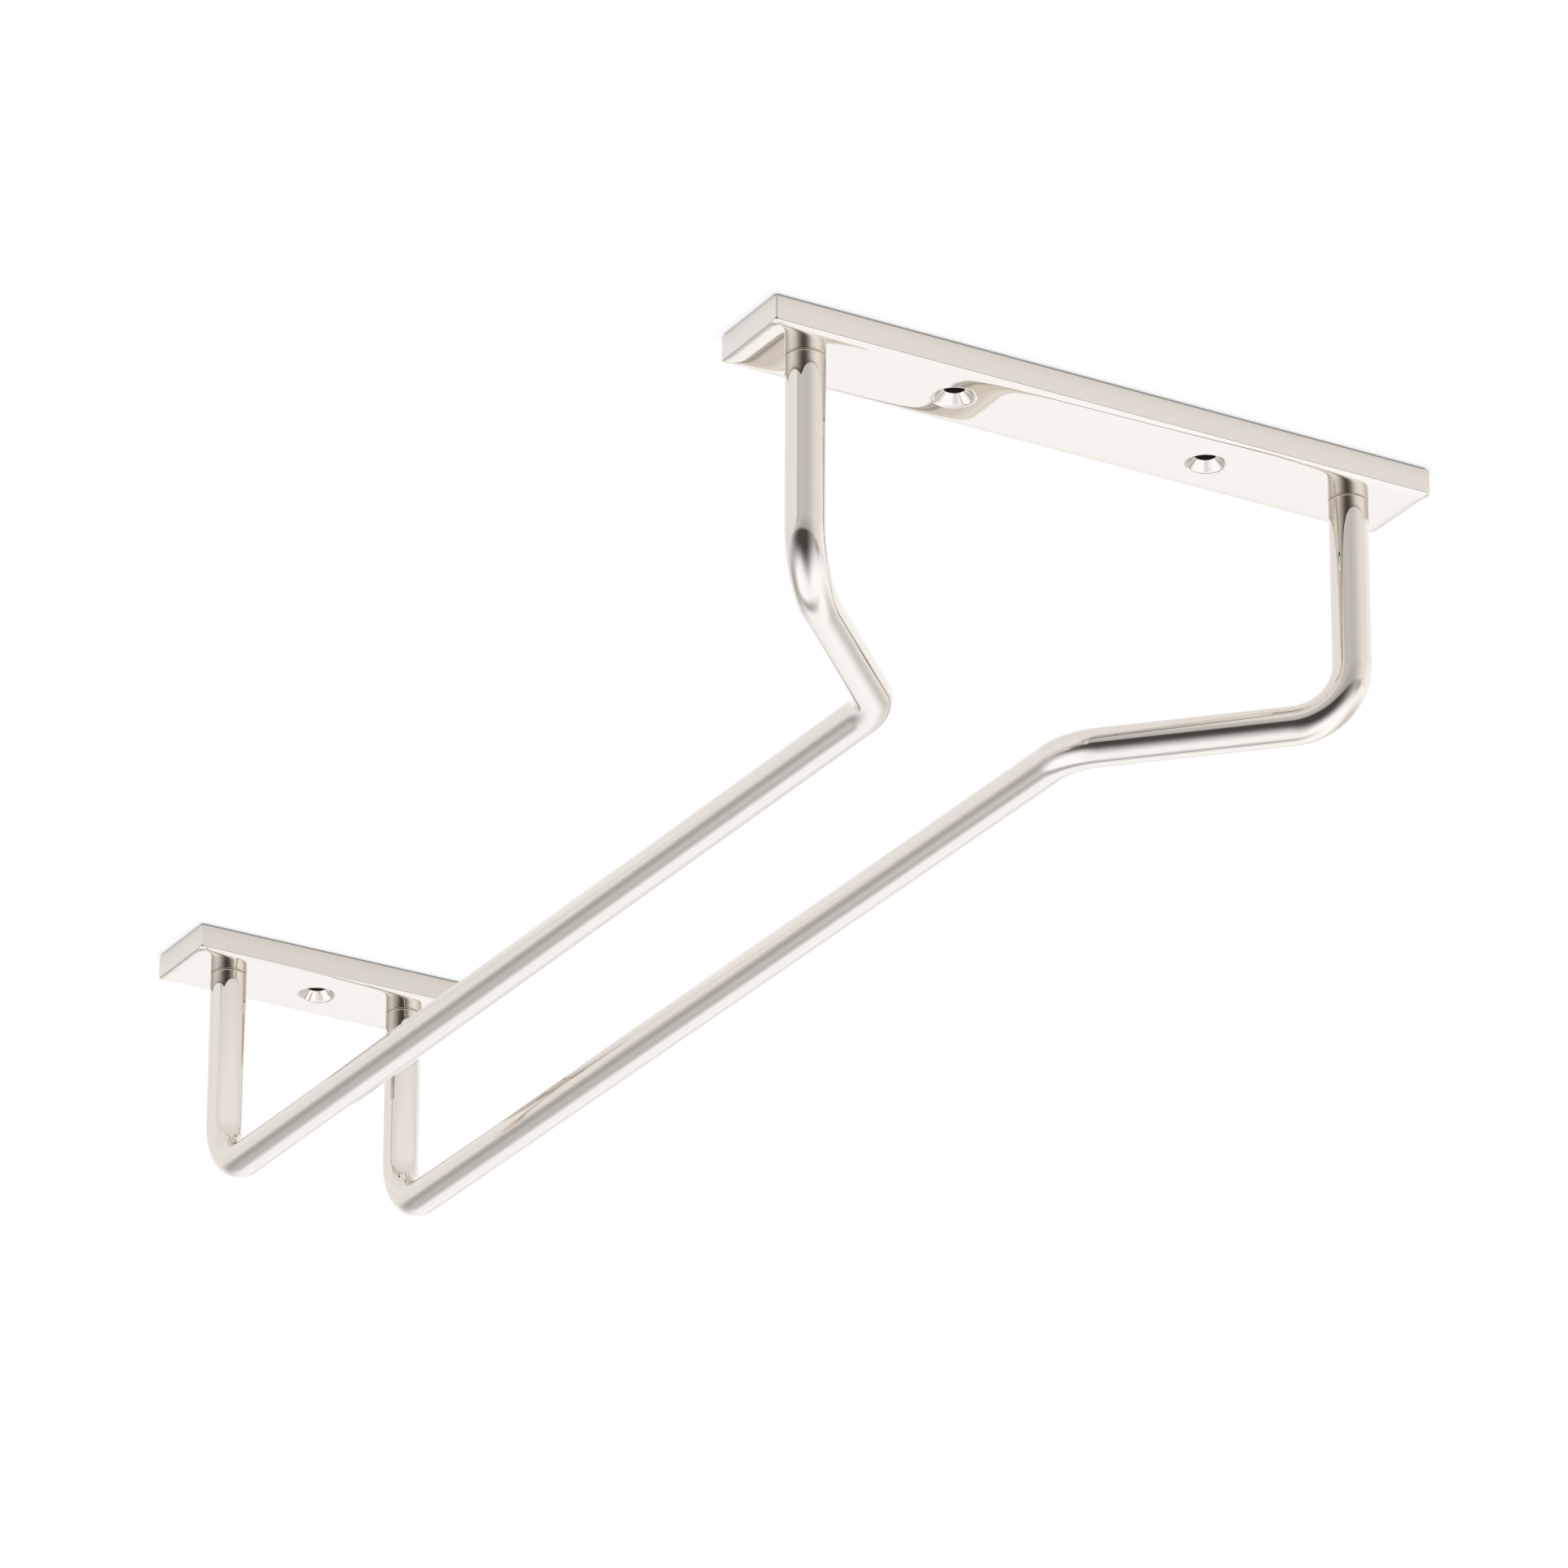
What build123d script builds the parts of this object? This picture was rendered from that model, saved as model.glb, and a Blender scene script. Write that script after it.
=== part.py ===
from build123d import *
from math import radians, tan
import os

# A hanging rack for stemware, fixed to the underside of a shelf. Two bent round rods carry the
# glasses by their feet. A wide bar plate holds the front ends of the rods and a narrow one their
# back ends, each with a countersunk screw that is driven from the plate's hidden top face.
#
# The origin is the middle of the front plate's top face, which lies against the shelf.
# +X is to the right of someone who faces the rack, +Y runs to its back, and +Z points up.
# Lengths are in millimetres and angles in degrees.

# Rods: two mirror images of one bent bar
rod_diameter = 9.5
rod_end_chamfer = 0.4
post_to_post = 380.0
front_post_spacing = 147.0
rail_spacing = 51.5
rail_drop = 63.0
flare_depth = 48.0
post_bend_radius = 14.0
flare_bend_radius = 18.0

# Plates: two lengths cut from one flat bar, each reaching past its rods' posts by an overhang
plate_depth = 25.0
plate_thickness = 7.0
plate_edge_rounding = 0.6
plate_end_chamfer = 0.4
front_plate_overhang = 15.0
back_plate_overhang = 14.25

# Mounting holes: countersunk from below for the wood screws that go up into the shelf
mount_hole_diameter = 5.0
mount_sink_diameter = 10.0
mount_rim_rounding = 1.0
front_mount_spacing = 68.0

# Rod screws: countersunk machine screws with a hexagon socket
screw_diameter = 5.0
screw_length = 16.0
screw_head_diameter = 9.6
screw_tip_clearance = 2.5
screw_head_recess = 0.3
socket_width = 3.0
socket_depth = 1.9

# Clearances
screw_hole_clearance = 0.25
screw_thread_clearance = 0.05
screw_seat_clearance = 0.05

# Angles
sink_angle = 90.0
drill_point_angle = 118.0

# How far a cut runs past the face that it opens
overrun = 1.0


def cone_height(wide, narrow, angle):
    """The height over which a cone of this full angle goes from one diameter to the other."""
    return (wide - narrow) / 2 / tan(radians(angle / 2))


def cone_growth(height, angle):
    """How much wider a cone of this full angle gets over this height."""
    return 2 * height * tan(radians(angle / 2))


def turned(half_outline):
    """The solid turned about the Z axis from one half of its outline, given as (radius, height)."""
    outline = Polyline(*half_outline, close=True)
    return revolve(Plane.XZ * make_face(outline), Axis.Z)


def mount_hole_cut():
    """A through hole with its countersink, where Z zero is the plate's underside."""
    hole = mount_hole_diameter / 2
    sink = mount_sink_diameter / 2
    seat = cone_height(mount_sink_diameter, mount_hole_diameter, sink_angle)
    top = plate_thickness + overrun
    return turned([(0, -overrun), (sink, -overrun), (sink, 0), (hole, seat), (hole, top), (0, top)])


def screw_hole_cut():
    """The clearance hole of a rod screw and its countersink, where Z zero is the plate's top."""
    hole_diameter = screw_diameter + 2 * screw_hole_clearance
    sink_diameter = screw_head_diameter + 2 * screw_seat_clearance
    sink_diameter += cone_growth(screw_head_recess, sink_angle)
    seat = cone_height(sink_diameter, hole_diameter, sink_angle)
    hole = hole_diameter / 2
    sink = sink_diameter / 2
    bottom = -plate_thickness - overrun
    return turned([(0, overrun), (sink, overrun), (sink, 0), (hole, -seat), (hole, bottom), (0, bottom)])


def plate(length, mount_places, screw_places):
    """A bar plate with its top face at Z zero, its holes at these places along its length."""
    section = Plane.YZ * RectangleRounded(plate_depth, plate_thickness, plate_edge_rounding)
    bar = Pos(0, 0, -plate_thickness / 2) * extrude(section, length / 2, both=True)
    by_length = bar.faces().sort_by(Axis.X)
    bar = chamfer(by_length[0].edges() + by_length[-1].edges(), plate_end_chamfer)
    for place in mount_places:
        bar -= Pos(place, 0, -plate_thickness) * mount_hole_cut()
    rims = bar.edges().filter_by(GeomType.CIRCLE).filter_by(
        lambda edge: abs(edge.radius - mount_sink_diameter / 2) < mount_rim_rounding / 2
    )
    bar = fillet(rims, mount_rim_rounding)
    for place in screw_places:
        bar -= Pos(place, 0, 0) * screw_hole_cut()
    return bar


def rod_line():
    """The axis of the left rod: front post, flare, rail and back post."""
    post = -front_post_spacing / 2
    rail = -rail_spacing / 2
    corners = [
        (post, 0, -plate_thickness),
        (post, 0, -rail_drop),
        (rail, flare_depth, -rail_drop),
        (rail, post_to_post, -rail_drop),
        (rail, post_to_post, -plate_thickness),
    ]
    return FilletPolyline(*corners, radius=[post_bend_radius, flare_bend_radius, post_bend_radius])


def thread_hole_cut():
    """The blind hole that is tapped into a rod's end, where Z zero is that end's face."""
    radius = screw_diameter / 2 + screw_thread_clearance
    reach = screw_length + screw_head_recess - plate_thickness + screw_tip_clearance
    point = cone_height(2 * radius, 0, drill_point_angle)
    return turned([(0, overrun), (radius, overrun), (radius, -reach), (0, -reach - point)])


def left_rod_solid():
    """The left rod with its ends chamfered and tapped."""
    line = rod_line()
    start = Plane(origin=line @ 0, z_dir=line % 0)
    bar = sweep(start * Circle(rod_diameter / 2), path=line)
    bar = chamfer(bar.edges().group_by(Axis.Z)[-1], rod_end_chamfer)
    for end in (line @ 0, line @ 1):
        bar -= Pos(end) * thread_hole_cut()
    return bar


def rod_screw():
    """A countersunk screw on the Z axis, its head's top just under Z zero."""
    head = screw_head_diameter / 2
    shank = screw_diameter / 2
    top = -screw_head_recess
    neck = top - cone_height(screw_head_diameter, screw_diameter, sink_angle)
    tip = top - screw_length
    body = turned([(0, top), (head, top), (shank, neck), (shank, tip), (0, tip)])
    socket = extrude(RegularPolygon(socket_width / 2, 6, major_radius=False), -socket_depth)
    return body - Pos(0, 0, top) * socket


os.makedirs("parts", exist_ok=True)

front_post_x = front_post_spacing / 2
back_post_x = rail_spacing / 2
mount_x = front_mount_spacing / 2

front_length = front_post_spacing + 2 * front_plate_overhang
back_length = rail_spacing + 2 * back_plate_overhang
front_plate = plate(front_length, [-mount_x, mount_x], [-front_post_x, front_post_x])
back_plate = Pos(0, post_to_post, 0) * plate(back_length, [0], [-back_post_x, back_post_x])
left_rod = left_rod_solid()

nodes = {
    "front_plate": front_plate,
    "back_plate": back_plate,
    "left_rod": left_rod,
    "right_rod": mirror(left_rod, about=Plane.YZ),
}

screw_places = {
    "front_left_screw": (-front_post_x, 0, 0),
    "front_right_screw": (front_post_x, 0, 0),
    "back_left_screw": (-back_post_x, post_to_post, 0),
    "back_right_screw": (back_post_x, post_to_post, 0),
}
for name, place in screw_places.items():
    nodes[name] = Pos(place) * rod_screw()

for name, shape in nodes.items():
    export_step(shape, f"parts/{name}.step")
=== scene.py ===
import bmesh
import bpy
from math import atan, atan2, cos, pi, radians, sin, tan
from mathutils import Matrix, Quaternion, Vector


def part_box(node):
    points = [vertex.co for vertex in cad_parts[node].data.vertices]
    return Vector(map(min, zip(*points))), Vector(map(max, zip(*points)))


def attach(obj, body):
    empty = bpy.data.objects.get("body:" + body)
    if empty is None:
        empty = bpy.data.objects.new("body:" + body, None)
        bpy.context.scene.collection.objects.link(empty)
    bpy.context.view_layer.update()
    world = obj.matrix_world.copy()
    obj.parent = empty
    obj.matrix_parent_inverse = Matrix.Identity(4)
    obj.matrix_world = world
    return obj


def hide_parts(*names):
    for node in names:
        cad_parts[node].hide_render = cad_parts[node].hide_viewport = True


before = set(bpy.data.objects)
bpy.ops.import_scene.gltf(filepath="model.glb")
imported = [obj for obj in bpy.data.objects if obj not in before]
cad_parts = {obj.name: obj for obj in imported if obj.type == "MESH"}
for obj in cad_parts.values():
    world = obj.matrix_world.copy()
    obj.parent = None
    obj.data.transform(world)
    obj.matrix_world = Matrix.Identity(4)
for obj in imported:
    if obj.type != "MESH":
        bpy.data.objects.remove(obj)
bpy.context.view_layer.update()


# Front plate
# The wide bar that carries the front ends of both rods and goes up against the shelf. It is a
# length of flat bar with two holes countersunk from below for the wood screws and two from above
# for the rod screws. It is buffed to a mirror, which wears its edges down, and nickel plated.

# The edges: a power of one is a round edge, and more is a softer one.
BAR_CORNER = 0.0007
BAR_TOP_EDGE = 0.00045
BAR_EDGE = 0.00078
EDGE_POWER = 1.5
EDGE_STEPS = 14

# The buffed underside's normals tilt by this slope at its edge, and by half of it at the reach.
# The mesh itself falls away by only a share of that slope, the sink, over the width.
BUFF_SLOPE = 0.46
BUFF_REACH = 0.0014
BUFF_FALL = 4
BUFF_WIDTH = 0.006
BUFF_SINK = 0.5
BUFF_STEPS = 18
RISE_STEPS = 60

# The holes: radii, depths and the roundings of their rims.
MOUNT_HOLE = 0.0025
MOUNT_SINK = 0.00485
MOUNT_RIM = 0.0015
MOUNT_NECK = 0.0002
MOUNT_SPACING = 0.068
SCREW_HOLE = 0.00275
SCREW_SINK = 0.00515
HOLE_EDGE = 0.00015
EASE_STEPS = 8
HOLE_SIDES = 128
WELD = 0.000001
FLAT_WITHIN = 1e-7
UP = Vector((0, 0, 1))

NICKEL_COLOUR = (0.800, 0.752, 0.688)
NICKEL_WARM = (0.804, 0.748, 0.677)
CLOUD_SCALE = 38.0
CLOUD_DETAIL = 4.0
CLOUD_RANGE = (0.35, 0.65)
HAZE_SCALE = 95.0
HAZE_DETAIL = 6.0
HAZE_LEVELS = (0.3, 0.75)
WAVE_DETAIL = 3.0
BAR_WAVE_SCALE = 60.0
BAR_WAVE_DEPTH = 0.000004
BAR_ROUGHNESS = (0.015, 0.032)


def right_of(heading):
    """The direction a quarter turn clockwise from this heading."""
    return Vector((heading.y, -heading.x))


def eased(corners, radii):
    """An outline with its inner corners rounded: points, each with the normal on its right."""
    line = [Vector(corner) for corner in corners]
    headings = [(b - a).normalized() for a, b in zip(line, line[1:])]
    outline = [(line[0], right_of(headings[0]))]
    for corner, heading, leaving, radius in zip(line[1:], headings, headings[1:], radii):
        turn = atan2(heading.cross(leaving), heading.dot(leaving))
        bend = radius if turn > 0 else -radius
        centre = corner - heading * radius * tan(abs(turn) / 2) - right_of(heading) * bend
        for step in range(EASE_STEPS + 1):
            normal = right_of(Matrix.Rotation(turn * step / EASE_STEPS, 2) @ heading)
            outline.append((centre + normal * bend, normal))
    outline.append((line[-1], right_of(headings[-1])))
    return outline


def round_spokes(centre, sides):
    """Spokes all round one point, each as the point and its direction."""
    turns = [2 * pi * side / sides for side in range(sides)]
    return [(Vector(centre), Vector((cos(turn), sin(turn), 0))) for turn in turns]


def join_rows(bm, rows):
    """Faces between each row of vertices and the next, and from the last row to the first."""
    for row, next_row in zip(rows, rows[1:] + rows[:1]):
        for a, b, c, d in zip(row, next_row, next_row[1:], row[1:]):
            bm.faces.new((a, b, c, d))


def skin(bm, spokes, outline, axis=UP):
    """Walls that follow an outline of (distance along the spoke, height along the axis)."""
    exact = bm.verts.layers.float_vector["exact"]
    rows = []
    for base, direction in spokes:
        row = []
        for point, normal in outline:
            vertex = bm.verts.new(base + direction * point.x + axis * point.y)
            vertex[exact] = direction * normal.x + axis * normal.y
            row.append(vertex)
        rows.append(row)
    join_rows(bm, rows)


def new_skin():
    """An empty mesh whose vertices carry their exact normal."""
    bm = bmesh.new()
    bm.verts.layers.float_vector.new("exact")
    return bm


def close_flat(bm, height):
    """Fills the flat face at this height between its outer edge and its holes."""
    level = [
        edge for edge in bm.edges
        if edge.is_boundary and all(abs(v.co.z - height) < FLAT_WITHIN for v in edge.verts)
    ]
    bmesh.ops.triangle_fill(bm, use_beauty=True, use_dissolve=False, edges=level, normal=UP)


def finished(bm, name, material):
    """The piece as an object with its exact normals, so that flat faces mirror as flat ones."""
    bmesh.ops.recalc_face_normals(bm, faces=bm.faces)
    exact = bm.verts.layers.float_vector["exact"]
    normals = [vertex[exact].normalized() for vertex in bm.verts]
    bm.verts.layers.float_vector.remove(exact)
    mesh = bpy.data.meshes.new(name)
    bm.to_mesh(mesh)
    bm.free()
    mesh.polygons.foreach_set("use_smooth", [True] * len(mesh.polygons))
    mesh.normals_split_custom_set_from_vertices(normals)
    mesh.materials.append(material)
    piece = bpy.data.objects.new(name, mesh)
    bpy.context.scene.collection.objects.link(piece)
    return piece


def weld(bm):
    """Joins the vertices that lie in the same place."""
    bmesh.ops.remove_doubles(bm, verts=bm.verts, dist=WELD)


def node(tree, kind, inputs=(), **settings):
    """A shader node with these inputs, where a socket is linked and a number is set."""
    made = tree.nodes.new(kind)
    for name, value in settings.items():
        setattr(made, name, value)
    for place, value in dict(inputs).items():
        if isinstance(value, bpy.types.NodeSocket):
            tree.links.new(value, made.inputs[place])
        else:
            made.inputs[place].default_value = value
    return made


def polished_nickel(name, wave_scale, wave_depth, roughness):
    """Mirror nickel: a warm plating with faint polishing haze, cloudy tone and buffing waves."""
    material = bpy.data.materials.new(name)
    material.use_nodes = True
    tree = material.node_tree
    shader = tree.nodes["Principled BSDF"]
    place = node(tree, "ShaderNodeTexCoord").outputs["Object"]
    clouds = node(tree, "ShaderNodeTexNoise", {
        "Vector": place, "Scale": CLOUD_SCALE, "Detail": CLOUD_DETAIL,
    })
    tone = node(tree, "ShaderNodeValToRGB", {"Fac": clouds.outputs["Fac"]})
    for stop, position, colour in zip(
        tone.color_ramp.elements, CLOUD_RANGE, (NICKEL_WARM, NICKEL_COLOUR)
    ):
        stop.position = position
        stop.color = (*colour, 1)
    haze = node(tree, "ShaderNodeTexNoise", {
        "Vector": place, "Scale": HAZE_SCALE, "Detail": HAZE_DETAIL,
    })
    dull = node(tree, "ShaderNodeMapRange", {
        "Value": haze.outputs["Fac"], "From Min": HAZE_LEVELS[0], "From Max": HAZE_LEVELS[1],
        "To Min": roughness[0], "To Max": roughness[1],
    })
    waves = node(tree, "ShaderNodeTexNoise", {
        "Vector": place, "Scale": wave_scale, "Detail": WAVE_DETAIL,
    })
    relief = node(tree, "ShaderNodeBump", {
        "Height": waves.outputs["Fac"], "Strength": 1.0, "Distance": wave_depth,
    })
    tree.links.new(tone.outputs["Color"], shader.inputs["Base Color"])
    tree.links.new(dull.outputs["Result"], shader.inputs["Roughness"])
    tree.links.new(relief.outputs["Normal"], shader.inputs["Normal"])
    shader.inputs["Metallic"].default_value = 1.0
    return material


def mount_hole(thickness):
    """The outline of a wood screw's hole, from the plate's top down to its countersink."""
    seat = MOUNT_SINK - MOUNT_HOLE
    return eased(
        [(MOUNT_HOLE + 3 * HOLE_EDGE, 0), (MOUNT_HOLE, 0), (MOUNT_HOLE, seat - thickness),
         (MOUNT_SINK, -thickness), (MOUNT_SINK + MOUNT_RIM / 2, -thickness)],
        [HOLE_EDGE, MOUNT_NECK, MOUNT_RIM],
    )


def screw_hole(thickness):
    """The outline of a rod screw's hole, from its countersink down to the plate's underside."""
    seat = SCREW_SINK - SCREW_HOLE
    return eased(
        [(SCREW_SINK + 3 * HOLE_EDGE, 0), (SCREW_SINK, 0), (SCREW_HOLE, -seat),
         (SCREW_HOLE, -thickness), (SCREW_HOLE + 3 * HOLE_EDGE, -thickness)],
        [HOLE_EDGE, HOLE_EDGE, HOLE_EDGE],
    )


def buffed_slope(inset):
    """How much the underside tilts, this far in from its edge, where the buffing wheel dips."""
    return BUFF_SLOPE / (1 + (inset / BUFF_REACH) ** BUFF_FALL)


def buffed_rise(inset):
    """How far the mesh has risen there: part of the slope's sum, which keeps the outline crisp."""
    stride = max(0.0, BUFF_WIDTH - inset) / RISE_STEPS
    slopes = [buffed_slope(inset + stride * (step + 0.5)) for step in range(RISE_STEPS)]
    return BUFF_SINK * stride * sum(slopes)


def buffed_edge(thickness):
    """The edge's outline from the corner's centre, in two parts: underside and top."""
    # The rounded edge starts where it tilts as much as the buffed underside does.
    start = BAR_EDGE / 2
    for _ in range(EASE_STEPS):
        tilt = atan(buffed_slope(start))
        start = BAR_EDGE * (1 - sin(tilt)) ** EDGE_POWER
    outline = []
    for step in range(EASE_STEPS):
        inset = BAR_CORNER + (start - BAR_CORNER) * step / EASE_STEPS
        slope = atan(buffed_slope(inset))
        place = Vector((BAR_CORNER - inset, buffed_rise(inset) - thickness))
        outline.append((place, Vector((sin(slope), -cos(slope)))))
    base = buffed_rise(start) - thickness - BAR_EDGE * (1 - cos(tilt)) ** EDGE_POWER
    for step in range(EDGE_STEPS + 1):
        turn = tilt + (pi / 2 - tilt) * step / EDGE_STEPS
        inset = BAR_EDGE * (1 - sin(turn)) ** EDGE_POWER
        place = Vector((BAR_CORNER - inset, base + BAR_EDGE * (1 - cos(turn)) ** EDGE_POWER))
        outline.append((place, Vector((sin(turn), -cos(turn)))))
    top = eased([(BAR_CORNER, -thickness / 2), (BAR_CORNER, 0), (0, 0)], [BAR_TOP_EDGE])
    return outline, top


def stations(low, high):
    """Places across the plate, closest at its edges, each with its inset and which way is out."""
    insets = [
        BAR_CORNER + (BUFF_WIDTH - BAR_CORNER) * (step / BUFF_STEPS) ** 2
        for step in range(BUFF_STEPS + 1)
    ]
    near = [(low + inset, inset, -1) for inset in insets]
    far = [(high - inset, inset, 1) for inset in reversed(insets)]
    return near + far


def bar_plate(name, node_name, mounts, screws, material):
    """A bar plate in its node's box, with holes at these places along X from its middle."""
    low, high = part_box(node_name)
    middle = (low + high) / 2
    thickness = high.z - low.z
    bm = new_skin()
    exact = bm.verts.layers.float_vector["exact"]
    across, along = stations(low.x, high.x), stations(low.y, high.y)
    grid = []
    for x, x_inset, x_out in across:
        column = []
        for y, y_inset, y_out in along:
            rise = buffed_rise(x_inset) + buffed_rise(y_inset)
            vertex = bm.verts.new((x, y, low.z + rise))
            tilt = Vector((x_out * buffed_slope(x_inset), y_out * buffed_slope(y_inset), -1))
            vertex[exact] = tilt.normalized() if rise > 0 else -UP
            column.append(vertex)
        grid.append(column)
    for i in range(len(across) - 1):
        for j in range(len(along) - 1):
            if i != BUFF_STEPS or j != BUFF_STEPS:
                bm.faces.new((grid[i][j], grid[i + 1][j], grid[i + 1][j + 1], grid[i][j + 1]))
    sides = [
        ([(x, along[0][0], inset, out) for x, inset, out in across], (0, -1, 0), (1, 0, 0)),
        ([(across[-1][0], y, inset, out) for y, inset, out in along], (1, 0, 0), (0, 1, 0)),
        ([(x, along[-1][0], inset, out) for x, inset, out in across[::-1]], (0, 1, 0), (1, 0, 0)),
        ([(across[0][0], y, inset, out) for y, inset, out in along[::-1]], (-1, 0, 0), (0, 1, 0)),
    ]
    under, over = buffed_edge(thickness)
    rows = []
    for side, (places, facing, run) in enumerate(sides):
        facing, run = Vector(facing), Vector(run)
        spokes = [(x, y, facing, inset, run * out) for x, y, inset, out in places]
        turning = Vector(sides[(side + 1) % 4][1])
        x, y, inset, out = places[-1]
        for step in range(1, EASE_STEPS):
            spokes.append((x, y, facing.slerp(turning, step / EASE_STEPS), inset, None))
        for x, y, direction, inset, outward in spokes:
            rise, tilt = buffed_rise(inset), buffed_slope(inset)
            row = []
            for part, lift in ((under, rise), (over, 0)):
                for point, normal in part:
                    corner = Vector((x, y, high.z + point.y + lift))
                    vertex = bm.verts.new(corner + direction * point.x)
                    vertex[exact] = direction * normal.x + UP * normal.y
                    if outward and lift:
                        vertex[exact] -= outward * normal.y * tilt
                    row.append(vertex)
            rows.append(row)
    join_rows(bm, rows)
    for places, outline in ((mounts, mount_hole(thickness)), (screws, screw_hole(thickness))):
        for x in places:
            skin(bm, round_spokes((x, middle.y, high.z), HOLE_SIDES), outline)
    weld(bm)
    close_flat(bm, low.z)
    close_flat(bm, high.z)
    return finished(bm, name, material)


ROD_RADIUS = 0.00475
rod_box_low, rod_box_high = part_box("left_rod")
post_x = -rod_box_low.x - ROD_RADIUS
rail_x = -rod_box_high.x + ROD_RADIUS

bar_nickel = polished_nickel("bar_nickel", BAR_WAVE_SCALE, BAR_WAVE_DEPTH, BAR_ROUGHNESS)
front_plate = bar_plate(
    "front_plate_polished", "front_plate",
    (-MOUNT_SPACING / 2, MOUNT_SPACING / 2), (-post_x, post_x), bar_nickel,
)
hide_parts("front_plate")
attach(front_plate, "root")


# Back plate
# The narrow bar that carries the rods' back ends. It is cut from the same flat bar as the front
# plate and finished with it, and has one hole in the middle for a wood screw.

back_plate = bar_plate(
    "back_plate_polished", "back_plate", (0,), (-rail_x, rail_x), bar_nickel,
)
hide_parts("back_plate")
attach(back_plate, "root")


# Rods
# Two round steel bars, nickel plated and bent as mirror images: a front post, a flare that guides
# the glass in, a long rail and a back post. Each end butts on a plate, with its edge rounded and
# a tapped hole in its middle.

FLARE_DEPTH = 0.048
POST_BEND = 0.014
FLARE_BEND = 0.018
ROD_END_EDGE = 0.00045
TAPPED_HOLE = 0.00255
TAPPED_DEPTH = 0.0118
DRILL_POINT = 0.0015
BEND_STEPS = 40
ROD_SIDES = 128
ROD_WAVE_SCALE = 90.0
ROD_WAVE_DEPTH = 0.000002
ROD_ROUGHNESS = (0.012, 0.028)


def bent_line(corners, radii):
    """The places along a bar bent at these corners, each with the heading there."""
    line = [Vector(corner) for corner in corners]
    headings = [(b - a).normalized() for a, b in zip(line, line[1:])]
    places = [(line[0], headings[0])]
    for corner, heading, leaving, radius in zip(line[1:], headings, headings[1:], radii):
        turn = heading.angle(leaving)
        hinge = heading.cross(leaving).normalized()
        start = corner - heading * radius * tan(turn / 2)
        centre = start + hinge.cross(heading) * radius
        for step in range(BEND_STEPS + 1):
            way = Quaternion(hinge, turn * step / BEND_STEPS) @ heading
            places.append((centre - hinge.cross(way) * radius, way))
    places.append((line[-1], headings[-1]))
    return places


def rod(name, node_name, material):
    """A bent rod in its node's box, with its posts on the outer side and its rail inside."""
    low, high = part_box(node_name)
    inner_low = low + Vector((ROD_RADIUS, ROD_RADIUS, ROD_RADIUS))
    inner_high = high - Vector((ROD_RADIUS, ROD_RADIUS, ROD_END_EDGE))
    left = abs(low.x) > abs(high.x)
    post, rail = (inner_low.x, inner_high.x) if left else (inner_high.x, inner_low.x)
    corners = [
        (post, inner_low.y, inner_high.z),
        (post, inner_low.y, inner_low.z),
        (rail, inner_low.y + FLARE_DEPTH, inner_low.z),
        (rail, inner_high.y, inner_low.z),
        (rail, inner_high.y, inner_high.z),
    ]
    places = bent_line(corners, [POST_BEND, FLARE_BEND, POST_BEND])
    bm = new_skin()
    exact = bm.verts.layers.float_vector["exact"]
    side = Vector((1, 0, 0))
    way = places[0][1]
    rings = []
    spokes = []
    for place, heading in places:
        side = way.rotation_difference(heading) @ side
        way = heading
        across = way.cross(side)
        turns = [2 * pi * step / ROD_SIDES for step in range(ROD_SIDES)]
        spokes.append([(place, side * cos(turn) + across * sin(turn)) for turn in turns])
        ring = []
        for base, direction in spokes[-1]:
            vertex = bm.verts.new(base + direction * ROD_RADIUS)
            vertex[exact] = direction
            ring.append(vertex)
        rings.append(ring)
    for ring, next_ring in zip(rings, rings[1:]):
        for a, b, c, d in zip(ring, ring[1:] + ring[:1], next_ring[1:] + next_ring[:1], next_ring):
            bm.faces.new((a, b, c, d))
    end = eased(
        [(ROD_RADIUS, 0), (ROD_RADIUS, ROD_END_EDGE), (TAPPED_HOLE, ROD_END_EDGE),
         (TAPPED_HOLE, -TAPPED_DEPTH), (0, -TAPPED_DEPTH - DRILL_POINT)],
        [ROD_END_EDGE, HOLE_EDGE, HOLE_EDGE],
    )
    skin(bm, spokes[0], end[1:], -places[0][1])
    skin(bm, spokes[-1], end[1:], places[-1][1])
    weld(bm)
    return finished(bm, name, material)


rod_nickel = polished_nickel("rod_nickel", ROD_WAVE_SCALE, ROD_WAVE_DEPTH, ROD_ROUGHNESS)
for hand in ("left", "right"):
    bent_rod = rod(hand + "_rod_polished", hand + "_rod", rod_nickel)
    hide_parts(hand + "_rod")
    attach(bent_rod, "root")


# Rod screws
# Four countersunk machine screws with a hexagon socket, of zinc plated steel. Each is driven down
# through a plate's top face into the tapped end of a rod, and pulls that end tight against it.

HEAD_RADIUS = 0.0048
SHANK_RADIUS = 0.0025
SCREW_LENGTH = 0.016
SOCKET_HALF = 0.0015
SOCKET_DEPTH = 0.0019
SOCKET_EDGE = 0.00012
THREAD_PITCH = 0.0008
THREAD_DEPTH = 0.00035
THREAD_RINGS = 12
SCREW_SIDES = 72
SOCKET_STEPS = 3

STEEL_COLOURS = ((0.56, 0.555, 0.545), (0.68, 0.675, 0.665))
STEEL_ROUGHNESS = (0.22, 0.38)
SPECK_SCALE = 900.0
SPECK_DETAIL = 5.0
SPECK_STRENGTH = 0.4
SPECK_DEPTH = 0.00002


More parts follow.
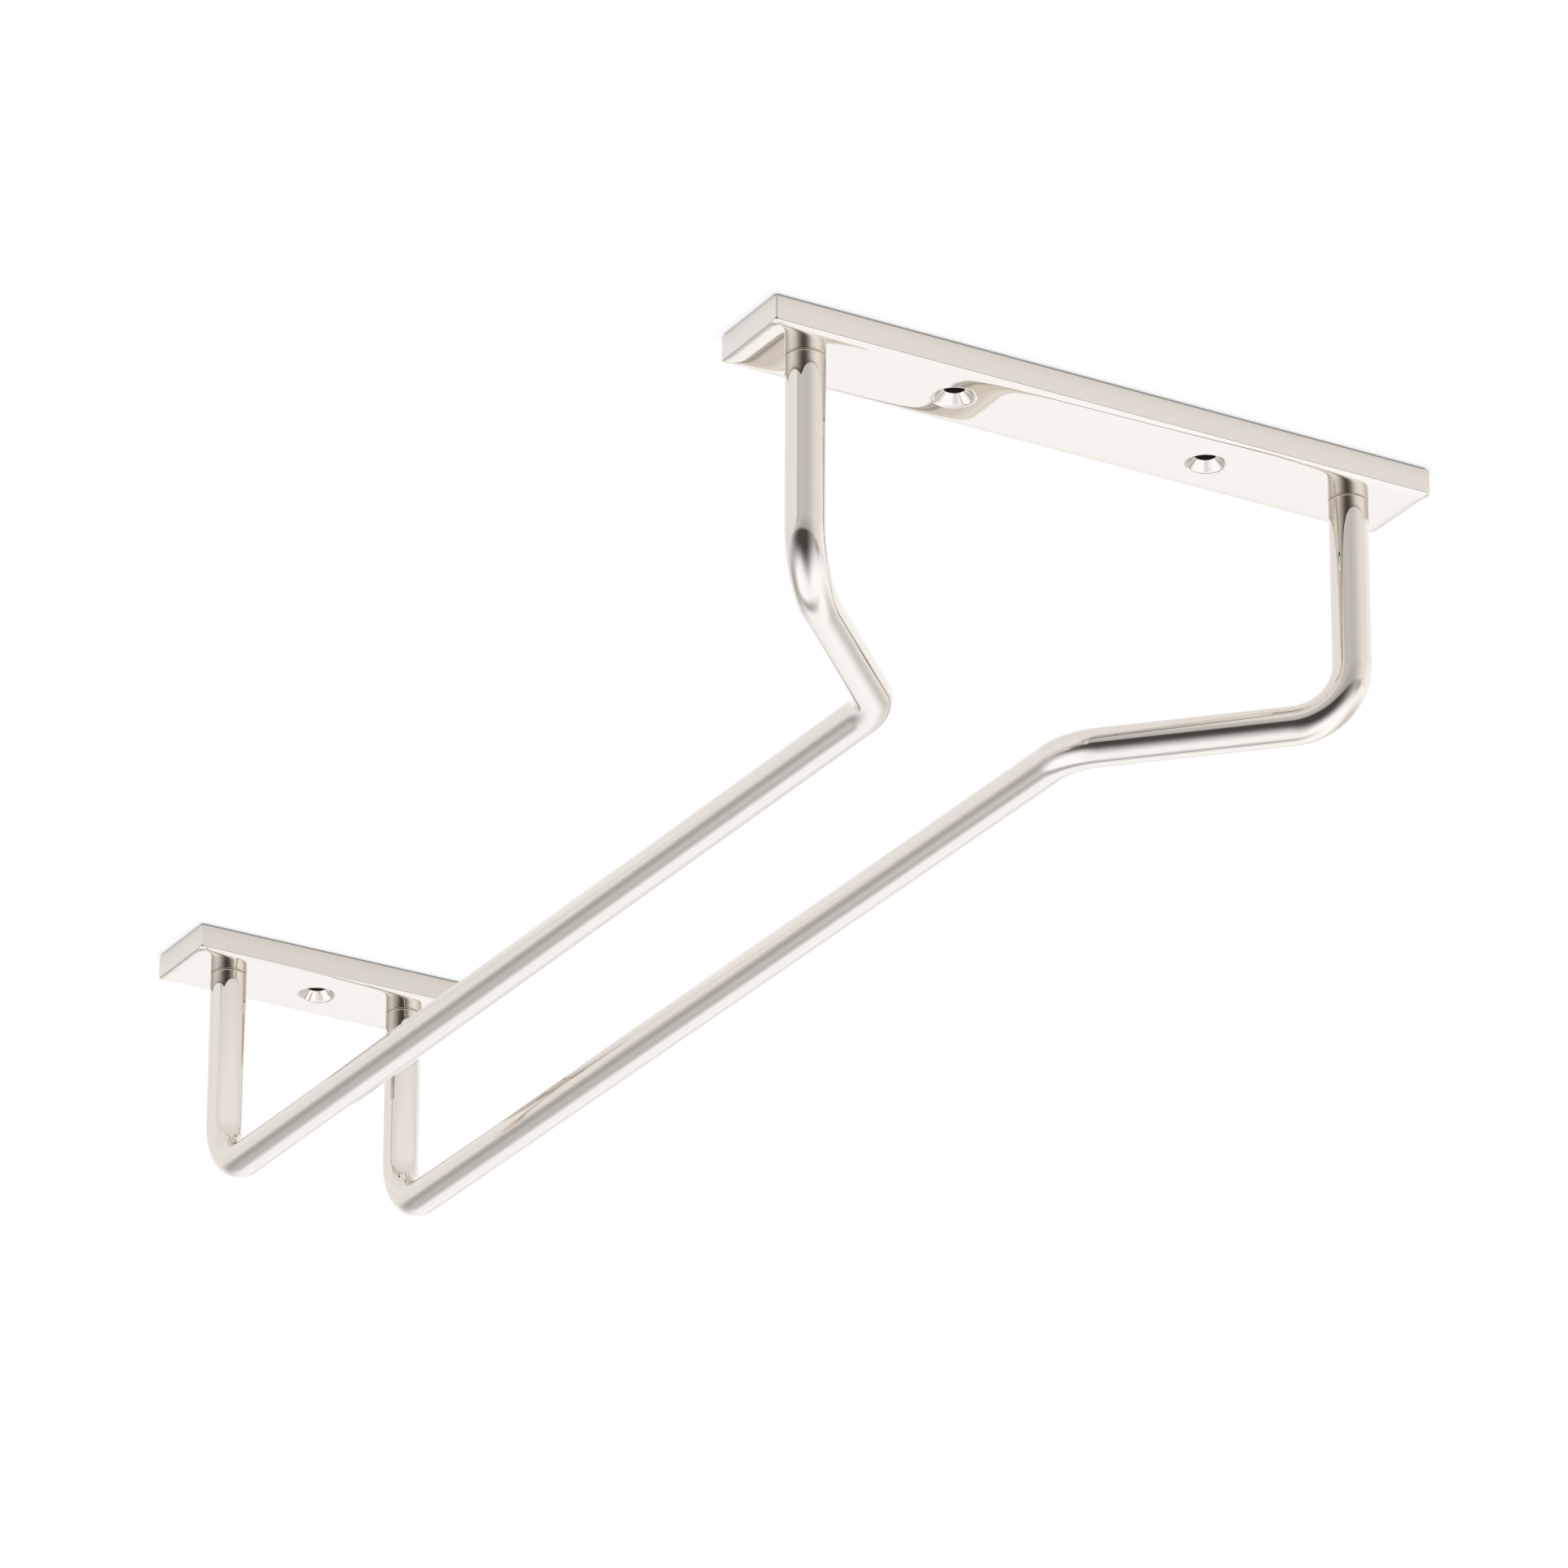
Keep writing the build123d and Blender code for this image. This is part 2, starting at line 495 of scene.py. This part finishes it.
def zinc_plated_steel(name):
    """Machined steel under thin bright zinc: a soft grey tone with the plating's fine specks."""
    material = bpy.data.materials.new(name)
    material.use_nodes = True
    tree = material.node_tree
    shader = tree.nodes["Principled BSDF"]
    place = node(tree, "ShaderNodeTexCoord").outputs["Object"]
    specks = node(tree, "ShaderNodeTexNoise", {
        "Vector": place, "Scale": SPECK_SCALE, "Detail": SPECK_DETAIL,
    })
    tone = node(tree, "ShaderNodeValToRGB", {"Fac": specks.outputs["Fac"]})
    for stop, colour in zip(tone.color_ramp.elements, STEEL_COLOURS):
        stop.color = (*colour, 1)
    dull = node(tree, "ShaderNodeMapRange", {
        "Value": specks.outputs["Fac"],
        "To Min": STEEL_ROUGHNESS[0], "To Max": STEEL_ROUGHNESS[1],
    })
    relief = node(tree, "ShaderNodeBump", {
        "Height": specks.outputs["Fac"], "Strength": SPECK_STRENGTH, "Distance": SPECK_DEPTH,
    })
    tree.links.new(tone.outputs["Color"], shader.inputs["Base Color"])
    tree.links.new(dull.outputs["Result"], shader.inputs["Roughness"])
    tree.links.new(relief.outputs["Normal"], shader.inputs["Normal"])
    shader.inputs["Metallic"].default_value = 1.0
    return material


def corner_spokes(corners, steps):
    """Spokes that fan out at each corner of a convex outline, given anticlockwise."""
    spokes = []
    for before, corner, after in zip(corners[-1:] + corners, corners, corners[1:] + corners[:1]):
        start = (corner - before).cross(UP).normalized()
        end = (after - corner).cross(UP).normalized()
        for step in range(steps + 1):
            spokes.append((corner, start.slerp(end, step / steps)))
    return spokes


def rod_screw(name, node_name, material):
    """A screw in its node's box: a countersunk head with its socket, and a threaded shank."""
    low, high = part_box(node_name)
    centre = Vector(((low.x + high.x) / 2, (low.y + high.y) / 2, high.z))
    neck = -(HEAD_RADIUS - SHANK_RADIUS)
    turns = round((SCREW_LENGTH + neck) / THREAD_PITCH) - 1
    body = eased(
        [(0, -SCREW_LENGTH), (SHANK_RADIUS - THREAD_DEPTH, -SCREW_LENGTH),
         (SHANK_RADIUS, -SCREW_LENGTH + THREAD_DEPTH), (SHANK_RADIUS, neck), (HEAD_RADIUS, 0),
         (HEAD_RADIUS - 4 * HOLE_EDGE, 0)],
        [SOCKET_EDGE, SOCKET_EDGE, SOCKET_EDGE, HOLE_EDGE],
    )
    lowest = -SCREW_LENGTH + 2 * THREAD_DEPTH
    rings = turns * THREAD_RINGS
    plain = [(p, n) for p, n in body if p.y <= lowest or p.y >= neck - HOLE_EDGE]
    split = next(i for i, (p, n) in enumerate(plain) if p.y >= neck - HOLE_EDGE)
    shank = [
        (Vector((SHANK_RADIUS, lowest + THREAD_PITCH * turns * step / rings)), Vector((1, 0)))
        for step in range(1, rings)
    ]
    bm = new_skin()
    skin(bm, round_spokes(centre, SCREW_SIDES), plain[:split] + shank + plain[split:])
    top = lowest + THREAD_PITCH * turns
    inside = SHANK_RADIUS - THREAD_DEPTH / 2
    for vertex in bm.verts:
        out = vertex.co - centre
        if lowest < out.z < top and out.xy.length > inside:
            turn = (out.z / THREAD_PITCH - atan2(out.y, out.x) / (2 * pi)) % 1.0
            fade = min(1.0, (out.z - lowest) / THREAD_PITCH, (top - out.z) / THREAD_PITCH)
            cut = THREAD_DEPTH * fade * (1 - abs(2 * turn - 1))
            out.xy = out.xy.normalized() * (SHANK_RADIUS - cut)
            vertex.co = centre + out
    reach = (SOCKET_HALF - SOCKET_EDGE) / cos(pi / 6)
    corners = [
        centre + Vector((cos(pi * side / 3), sin(pi * side / 3), 0)) * reach for side in range(6)
    ]
    socket = eased(
        [(3 * SOCKET_EDGE, 0), (SOCKET_EDGE, 0), (SOCKET_EDGE, -SOCKET_DEPTH), (0, -SOCKET_DEPTH)],
        [SOCKET_EDGE, SOCKET_EDGE],
    )
    skin(bm, corner_spokes(corners, SOCKET_STEPS), socket)
    weld(bm)
    close_flat(bm, high.z)
    close_flat(bm, high.z - SOCKET_DEPTH)
    return finished(bm, name, material)


screw_steel = zinc_plated_steel("screw_steel")
for place in ("front_left", "front_right", "back_left", "back_right"):
    screw = rod_screw(place + "_screw_steel", place + "_screw", screw_steel)
    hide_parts(place + "_screw")
    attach(screw, "root")


# Shelf
# The shelf that the rack hangs from isn't part of it, so only its marks on the rack are made: the
# contact shadow round each plate, on a frame that is clear from above and further out, its shadow
# painted as a dark disc at the bottom of each mounting hole, and a strip of it that glows with
# painted light, darker towards its back, which only the metal mirrors.

SHADOW_REACH = 0.016
SHADOW_RINGS = 24
SHADOW_HEIGHT = 0.00002
SHADOW_RUN = 0.001

# How much light is left at each distance from the plate, as it is seen and as it is mirrored.
# The far corners and the ends read this a little further out, so they are paler.
CORNER_LOSS = 0.0006
END_LOSS = 0.0001
SEEN_SHADE = (
    (0, 0.42), (0.00015, 0.61), (0.0004, 0.82), (0.0008, 0.93), (0.0018, 0.975), (0.0032, 1),
)
MIRRORED_SHADE = (
    (0, 0.08), (0.0001, 0.33), (0.0003, 0.72), (0.0005, 0.84), (0.0015, 0.91), (0.0025, 0.945),
    (0.005, 0.98), (0.009, 1),
)
HOLE_SHADE = ((0, 0.02),)

# The strip of shelf glows with painted light, and painted shade makes it darker towards its back.
SHELF_HALF = 0.3
SHELF_FRONT = 0.255
SHELF_BACK = 0.366
SHELF_HEIGHT = 0.0005
SHELF_FADE = (0.29, 0.36)
SHELF_PAINTED_LIGHT = (0.99, 0.86)


def shade_ramp(tree, away, stops):
    """How much light is left at each distance from the plate's outline, in metres."""
    share = node(tree, "ShaderNodeMath", {0: away, 1: 1 / SHADOW_REACH}, operation="MULTIPLY")
    ramp = node(tree, "ShaderNodeValToRGB", {"Fac": share.outputs[0]})
    while len(ramp.color_ramp.elements) < len(stops):
        ramp.color_ramp.elements.new(1.0)
    for element, (distance, left) in zip(ramp.color_ramp.elements, stops):
        element.position = distance / SHADOW_REACH
        element.color = (left, left, left, 1)
    return ramp


def shadow_material(name, seen_shade, mirrored_shade):
    """Clear except near the plate, where it darkens what is seen or mirrored through it."""
    material = bpy.data.materials.new(name)
    material.use_nodes = True
    tree = material.node_tree
    tree.nodes.clear()
    away = node(tree, "ShaderNodeAttribute", attribute_name="away")
    path = node(tree, "ShaderNodeLightPath")
    above = node(tree, "ShaderNodeNewGeometry")
    seen = shade_ramp(tree, away.outputs["Fac"], seen_shade)
    mirrored = shade_ramp(tree, away.outputs["Fac"], mirrored_shade)
    tint = node(tree, "ShaderNodeMix", data_type="RGBA")
    tree.links.new(path.outputs["Is Camera Ray"], tint.inputs["Factor"])
    tree.links.new(mirrored.outputs["Color"], tint.inputs[6])
    tree.links.new(seen.outputs["Color"], tint.inputs[7])
    clear = node(tree, "ShaderNodeMix", data_type="RGBA")
    tree.links.new(above.outputs["Backfacing"], clear.inputs["Factor"])
    tree.links.new(tint.outputs[2], clear.inputs[6])
    clear.inputs[7].default_value = (1, 1, 1, 1)
    glass = node(tree, "ShaderNodeBsdfTransparent", {"Color": clear.outputs[2]})
    node(tree, "ShaderNodeOutputMaterial", {"Surface": glass.outputs["BSDF"]})
    return material


def contact_frame(name, node_name, material):
    """A frame at the plate's top face, from its flat edge outwards, darkest at the near corner."""
    low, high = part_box(node_name)
    corners = [
        (low.x + BAR_CORNER, low.y + BAR_CORNER), (high.x - BAR_CORNER, low.y + BAR_CORNER),
        (high.x - BAR_CORNER, high.y - BAR_CORNER), (low.x + BAR_CORNER, high.y - BAR_CORNER),
    ]
    corners = [Vector((x, y, high.z + SHADOW_HEIGHT)) for x, y in corners]
    spokes = []
    for before, corner, after in zip(corners[-1:] + corners, corners, corners[1:] + corners[:1]):
        inward, onward = (corner - before).normalized(), (after - corner).normalized()
        start, end = inward.cross(UP), onward.cross(UP)
        spokes.append((corner - inward * SHADOW_RUN, start, END_LOSS * abs(start.x)))
        loss = 0 if corner is corners[0] else CORNER_LOSS
        for step in range(EASE_STEPS + 1):
            spokes.append((corner, start.slerp(end, step / EASE_STEPS), loss))
        spokes.append((corner + onward * SHADOW_RUN, end, END_LOSS * abs(end.x)))
    spread = [(step / SHADOW_RINGS) ** 2 for step in range(SHADOW_RINGS + 1)]
    distances = [0] + [BAR_CORNER + SHADOW_REACH * share for share in spread]
    mesh = bpy.data.meshes.new(name)
    points = [base + out * distance for base, out, loss in spokes for distance in distances]
    count = len(distances)
    total = len(points)
    faces = [
        (i + j, i + j + 1, (i + count + j + 1) % total, (i + count + j) % total)
        for i in range(0, total, count) for j in range(count - 1)
    ]
    mesh.from_pydata(points, [], faces)
    away = mesh.attributes.new("away", "FLOAT", "POINT")
    outside = [max(0, distance - BAR_CORNER) for distance in distances]
    away.data.foreach_set("value", [gap + loss for base, out, loss in spokes for gap in outside])
    mesh.materials.append(material)
    piece = bpy.data.objects.new(name, mesh)
    bpy.context.scene.collection.objects.link(piece)
    if mesh.polygons[0].normal.z > 0:
        mesh.flip_normals()


def hole_shadow_disc(name, x, node_name, material):
    """A dark disc that paints the shelf's full shadow at the bottom of a mounting hole."""
    low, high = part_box(node_name)
    bm = bmesh.new()
    radius = MOUNT_HOLE + 2 * HOLE_EDGE
    place = (x, (low.y + high.y) / 2, high.z + SHADOW_HEIGHT)
    bmesh.ops.create_circle(bm, cap_ends=True, segments=HOLE_SIDES, radius=radius)
    bmesh.ops.translate(bm, verts=bm.verts, vec=place)
    mesh = bpy.data.meshes.new(name)
    bm.to_mesh(mesh)
    bm.free()
    mesh.attributes.new("away", "FLOAT", "POINT")
    mesh.materials.append(material)
    piece = bpy.data.objects.new(name, mesh)
    bpy.context.scene.collection.objects.link(piece)
    if mesh.polygons[0].normal.z > 0:
        mesh.flip_normals()


contact = shadow_material("contact_shadow", SEEN_SHADE, MIRRORED_SHADE)
contact_frame("shelf_shadow_front", "front_plate", contact)
contact_frame("shelf_shadow_back", "back_plate", contact)
# Dark discs paint the shadow at the bottom of the mounting holes.
hole_painted_shadow = shadow_material("hole_painted_shadow", HOLE_SHADE, HOLE_SHADE)
hole_shadow_disc("painted_shadow_left_hole", -MOUNT_SPACING / 2, "front_plate", hole_painted_shadow)
hole_shadow_disc("painted_shadow_right_hole", MOUNT_SPACING / 2, "front_plate", hole_painted_shadow)
hole_shadow_disc("painted_shadow_back_hole", 0, "back_plate", hole_painted_shadow)

# A glowing strip that paints the lit shelf into the metal's reflections, with painted shade
# towards its back.
shelf_mesh = bpy.data.meshes.new("shelf_seen_in_metal")
shelf_mesh.from_pydata(
    [(x, y, SHELF_HEIGHT) for x, y in (
        (-SHELF_HALF, SHELF_FRONT), (SHELF_HALF, SHELF_FRONT),
        (SHELF_HALF, SHELF_BACK), (-SHELF_HALF, SHELF_BACK),
    )], [], [(0, 1, 2, 3)],
)
shelf = bpy.data.objects.new("shelf_seen_in_metal", shelf_mesh)
bpy.context.scene.collection.objects.link(shelf)
shelf.visible_camera = False
shelf.visible_shadow = False
shelf.visible_diffuse = False
shelf_painted_light = bpy.data.materials.new("shelf_painted_light")
shelf_painted_light.use_nodes = True
shelf_painted_light.node_tree.nodes.clear()
shelf_place = node(shelf_painted_light.node_tree, "ShaderNodeTexCoord").outputs["Object"]
shelf_depth = node(shelf_painted_light.node_tree, "ShaderNodeSeparateXYZ", {0: shelf_place})
shelf_painted_falloff = node(shelf_painted_light.node_tree, "ShaderNodeMapRange", {
    "Value": shelf_depth.outputs["Y"], "From Min": SHELF_FADE[0], "From Max": SHELF_FADE[1],
    "To Min": SHELF_PAINTED_LIGHT[0], "To Max": SHELF_PAINTED_LIGHT[1],
})
shelf_glow = node(shelf_painted_light.node_tree, "ShaderNodeEmission", {"Strength": shelf_painted_falloff.outputs[0]})
node(shelf_painted_light.node_tree, "ShaderNodeOutputMaterial", {"Surface": shelf_glow.outputs[0]})
shelf_mesh.materials.append(shelf_painted_light)


# Floor
# A plain pale floor far below the shelf, lower than any view from below, so it never hides the
# rack. It is as white as the background in the picture.

FLOOR_HEIGHT = -3.2
FLOOR_RADIUS = 12.0
FLOOR_SIDES = 64

floor_mesh = bpy.data.meshes.new("floor")
floor_bm = bmesh.new()
bmesh.ops.create_circle(floor_bm, cap_ends=True, segments=FLOOR_SIDES, radius=FLOOR_RADIUS)
bmesh.ops.translate(floor_bm, verts=floor_bm.verts, vec=(0, 0, FLOOR_HEIGHT))
floor_bm.to_mesh(floor_mesh)
floor_bm.free()
floor = bpy.data.objects.new("floor", floor_mesh)
bpy.context.scene.collection.objects.link(floor)
floor.visible_glossy = False
floor_white = bpy.data.materials.new("floor_white")
floor_white.use_nodes = True
floor_white.node_tree.nodes.clear()
floor_glow = node(floor_white.node_tree, "ShaderNodeEmission", {"Color": (1, 1, 1, 1)})
node(floor_white.node_tree, "ShaderNodeOutputMaterial", {"Surface": floor_glow.outputs[0]})
floor_mesh.materials.append(floor_white)


# Studio
# A white room with a pale grey upper half. White panels and soft grey cards stand all round, and
# a black flag behind the camera gives the polished metal its dark bands.

LOWER = (1.115, 1.135, 1.180)
UPPER = (0.93, 0.93, 0.93)
WHITE_CARD = (1.23, 1.26, 1.32)
BLACK_FLAG = (0.073, 0.069, 0.063)
HORIZON = (0.5, 7.0)
HORIZON_TILT = (80, 3.5)

world = bpy.data.worlds.new("studio")
bpy.context.scene.world = world
world.use_nodes = True
sky = world.node_tree
sky.nodes.clear()
look = node(sky, "ShaderNodeTexCoord").outputs["Generated"]


def worked_out(kind, a, b=0.0):
    """The result of this kind of sum on one or two values."""
    return node(sky, "ShaderNodeMath", {0: a, 1: b}, operation=kind).outputs[0]


def along(direction):
    """How far the way that is looked in goes along this direction."""
    made = node(sky, "ShaderNodeVectorMath", {0: look, 1: direction}, operation="DOT_PRODUCT")
    return made.outputs["Value"]


def towards(azimuth, elevation):
    """The direction at this azimuth, clockwise from +Y seen from above, and elevation."""
    a, e = radians(azimuth), radians(elevation)
    return Vector((cos(e) * sin(a), cos(e) * cos(a), sin(e)))


def card(under, azimuth, elevation, roll, half_width, half_height, softness, tone):
    """A soft oval card of this tone, laid over what is under it. Angles are in degrees."""
    centre = towards(azimuth, elevation)
    level = towards(azimuth + 90, 0)
    upright = level.cross(centre)
    across = level * cos(radians(roll)) + upright * sin(radians(roll))
    upward = upright * cos(radians(roll)) - level * sin(radians(roll))
    x = worked_out("ARCTAN2", along(across), along(centre))
    y = worked_out("ARCSINE", along(upward))
    x = worked_out("POWER", worked_out("MULTIPLY", x, 1 / radians(half_width)), 2.0)
    y = worked_out("POWER", worked_out("MULTIPLY", y, 1 / radians(half_height)), 2.0)
    rim = worked_out("SQRT", worked_out("ADD", x, y))
    cover = node(sky, "ShaderNodeMapRange", {
        "Value": rim, "From Min": 1 + softness, "From Max": 1 - softness,
    }, interpolation_type="SMOOTHSTEP")
    colour = (*tone, 1) if isinstance(tone, tuple) else (tone, tone, tone, 1)
    laid = node(sky, "ShaderNodeMix", {0: cover.outputs[0], 6: under, 7: colour}, data_type="RGBA")
    return laid.outputs[2]


# Each card's azimuth, elevation, roll, half width, half height, softness and tone
below = (*LOWER, 1)
for laid_card in (
    # White panels low at the back left and the front right, and a slightly greyer patch between
    (-39, -50, -10, 36, 20, 0.3, WHITE_CARD),
    (139, -53, -3, 97, 39, 0.7, WHITE_CARD),
    (39, -12, 0, 12, 10, 0.8, (1.00, 1.02, 1.05)),
    # Grey cards at the back left, low at the back and at the right
    (-28, -13, 3, 28, 14, 1.0, 0.46),
    (-6, -52, -62, 35, 9, 1.0, 0.49),
    (75, -18.5, -22, 32, 14, 0.9, 0.73),
    # A dark card at the left, and two grey ones at the front
    (-119, -4.5, -2, 52, 20, 0.8, 0.115),
    (164, 16, -38, 53, 25, 1.0, 0.43),
    (152, -3, 0, 12, 7, 0.7, 0.5),
    # The black flag behind the camera
    (-142, -3, 2, 33, 50, 0.7, BLACK_FLAG),
):
    below = card(below, *laid_card)
over = (*UPPER, 1)
for laid_card in (
    # A white panel at the back right, brighter low in its middle
    (40, 22, 0, 36, 26, 0.8, (1.11, 1.14, 1.19)),
    (36, 8, 0, 12, 18, 0.6, (1.18, 1.21, 1.25)),
    # Grey cards above the camera and at the left
    (-135, -16, -31, 60, 41, 0.5, 0.47),
    (-113, 22, 0, 17, 8, 0.6, 0.63),
    # Pale panels at the left, at the back left and at the right
    (-78, 28, 0, 22.5, 16, 0.05, 0.97),
    (-33, 29.5, 0, 10, 6, 0.7, (0.975, 0.982, 1.015)),
    (94, 14, -1, 32, 13, 0.5, (1.09, 1.11, 1.14)),
):
    over = card(over, *laid_card)

# The upper half fades in over a horizon that is tilted a little
height = worked_out("ARCSINE", along(towards(HORIZON_TILT[0], 90 - HORIZON_TILT[1])))
rise = node(sky, "ShaderNodeMapRange", {
    "Value": height, "From Min": radians(HORIZON[0]), "From Max": radians(HORIZON[1]),
}, interpolation_type="SMOOTHSTEP")
studio = node(sky, "ShaderNodeMix", {0: rise.outputs[0], 6: below, 7: over}, data_type="RGBA")
ray = node(sky, "ShaderNodeLightPath")
seen = node(sky, "ShaderNodeMix", {
    0: ray.outputs["Is Camera Ray"], 6: studio.outputs[2], 7: (1, 1, 1, 1),
}, data_type="RGBA")
light = node(sky, "ShaderNodeBackground", {"Color": seen.outputs[2], "Strength": 1.0})
node(sky, "ShaderNodeOutputWorld", {"Surface": light.outputs[0]})


# Camera
# It stands low at the front left, a little over two metres from the rack, and looks up at it
# through a long lens.

CAMERA_PLACE = (-1.07570, -1.72556, -1.02820)
CAMERA_YAW = 30.016
CAMERA_PITCH = 24.625
CAMERA_ROLL = 0.157
CAMERA_LENS = 226.242
CAMERA_SENSOR = 36.0
CAMERA_REACH = 50.0

camera_data = bpy.data.cameras.new("camera")
camera_data.sensor_width = CAMERA_SENSOR
camera_data.lens = CAMERA_LENS
camera_data.clip_end = CAMERA_REACH
camera = bpy.data.objects.new("camera", camera_data)
bpy.context.scene.collection.objects.link(camera)
forward = towards(CAMERA_YAW, CAMERA_PITCH)
right = towards(CAMERA_YAW + 90, 0)
lift = right.cross(forward)
tilt = Quaternion(forward, radians(-CAMERA_ROLL))
right, lift = tilt @ right, tilt @ lift
camera.matrix_world = Matrix((
    (right.x, lift.x, -forward.x, CAMERA_PLACE[0]),
    (right.y, lift.y, -forward.y, CAMERA_PLACE[1]),
    (right.z, lift.z, -forward.z, CAMERA_PLACE[2]),
    (0, 0, 0, 1),
))
bpy.context.scene.camera = camera
bpy.context.scene.view_settings.view_transform = "Standard"
